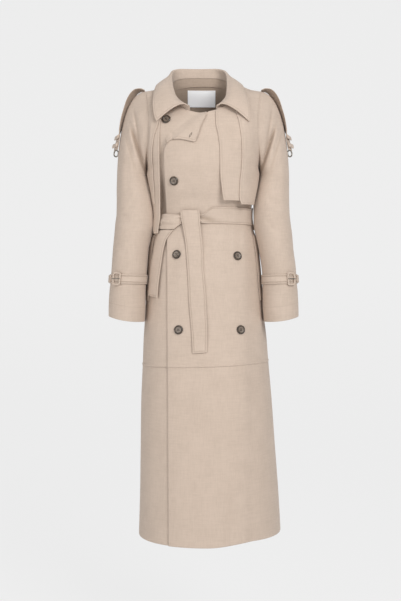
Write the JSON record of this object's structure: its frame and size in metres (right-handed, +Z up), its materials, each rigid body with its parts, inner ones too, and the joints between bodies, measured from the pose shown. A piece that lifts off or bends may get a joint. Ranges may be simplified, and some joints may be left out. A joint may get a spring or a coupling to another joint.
{
  "type": "trench coat",
  "caption": "Long double-breasted trench coat, filled out as if worn, with a tied cloth belt, chest flaps and strapped cuffs.",
  "frame": {"origin": "midway between the tops of the two shoulders, where the wearer holds the coat up", "axes": "+Z up, +X towards the wearer's left, so the front faces -Y"},
  "size_m": [0.5351, 0.365, 1.3436],
  "materials": {
    "cloth": "matt brushed cotton",
    "horn": "polished dark brown",
    "metal": "dull grey",
    "label": "white satin"
  },
  "bodies": {
    "root": {"back": "cloth", "back_skirt": "cloth", "right_front": "cloth", "right_front_skirt": "cloth", "left_front": "cloth", "left_front_skirt": "cloth", "left_sleeve": "cloth", "right_sleeve": "cloth", "collar_stand": "cloth", "collar_fall": "cloth", "turned_corner": "cloth", "left_flap_inner": "cloth", "left_flap_outer": "cloth", "right_flap_long": "cloth", "right_flap_outer": "cloth", "belt_band": "cloth", "belt_long_tail": "cloth", "belt_short_tail": "cloth", "belt_knot": "cloth", "left_belt_loop": "cloth", "right_belt_loop": "cloth", "left_pocket_welt": "cloth", "right_pocket_welt": "cloth", "left_shoulder_strap": "cloth", "left_keeper_upper": "cloth", "left_keeper_lower": "cloth", "left_cuff_strap": "cloth", "left_cuff_buckle": "cloth", "left_cuff_tip": "cloth", "right_shoulder_strap": "cloth", "right_keeper_upper": "cloth", "right_keeper_lower": "cloth", "right_cuff_strap": "cloth", "right_cuff_buckle": "cloth", "right_cuff_tip": "cloth", "button_neck": "horn", "button_chest": "horn", "button_hip_right": "horn", "button_hip_left": "horn", "button_low_right": "horn", "button_low_left": "horn", "left_strap_ring": "metal", "right_strap_ring": "metal", "left_cuff_pin": "metal", "right_cuff_pin": "metal", "neck_label": "label"}
  },
  "joints": []
}
